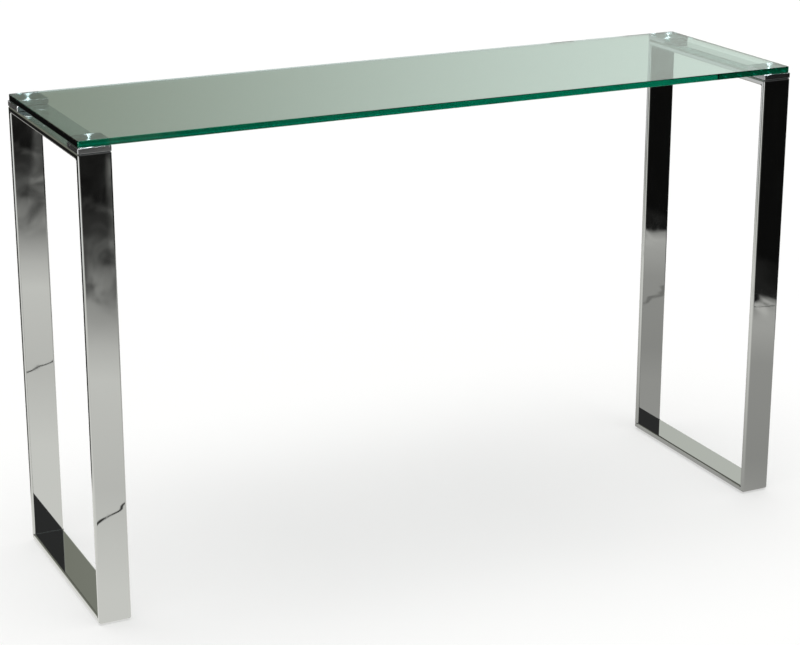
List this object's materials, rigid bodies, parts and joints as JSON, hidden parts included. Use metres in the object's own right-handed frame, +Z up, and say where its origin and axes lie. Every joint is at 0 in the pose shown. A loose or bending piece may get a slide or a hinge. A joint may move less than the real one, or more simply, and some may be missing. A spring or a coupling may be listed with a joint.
{
  "type": "console table",
  "caption": "Narrow console table: a slab of clear glass on square metal corner pads, over closed loop frames of flat chromed tube at its ends.",
  "frame": {"origin": "on the floor, under the middle of the glass top", "axes": "+X along the table's length, +Y from its front to its back, +Z up"},
  "size_m": [1.2, 0.35, 0.74],
  "materials": {
    "chromed_tube": "bright chrome plate over polished steel tube",
    "float_glass": "clear float glass with green, flat-polished edges",
    "turned_steel": "fine circular turning marks on the face under the glass",
    "zinc_plate": "bright zinc plate",
    "grey_nylon": "moulded nylon, matt"
  },
  "bodies": {
    "root": {"glass_top": "float_glass", "corner_pad_front_left": "turned_steel", "corner_pad_front_right": "turned_steel", "corner_pad_rear_left": "turned_steel", "corner_pad_rear_right": "turned_steel", "left_frame_front_leg": "chromed_tube", "left_frame_rear_leg": "chromed_tube", "left_frame_top_rail": "chromed_tube", "left_frame_bottom_rail": "chromed_tube", "right_frame_front_leg": "chromed_tube", "right_frame_rear_leg": "chromed_tube", "right_frame_top_rail": "chromed_tube", "right_frame_bottom_rail": "chromed_tube", "pad_screw_front_left": "zinc_plate", "pad_screw_front_right": "zinc_plate", "pad_screw_rear_left": "zinc_plate", "pad_screw_rear_right": "zinc_plate", "screw_washer_front_left": "zinc_plate", "screw_washer_front_right": "zinc_plate", "screw_washer_rear_left": "zinc_plate", "screw_washer_rear_right": "zinc_plate", "floor_glide_front_left": "grey_nylon", "floor_glide_front_right": "grey_nylon", "floor_glide_rear_left": "grey_nylon", "floor_glide_rear_right": "grey_nylon"}
  },
  "joints": []
}
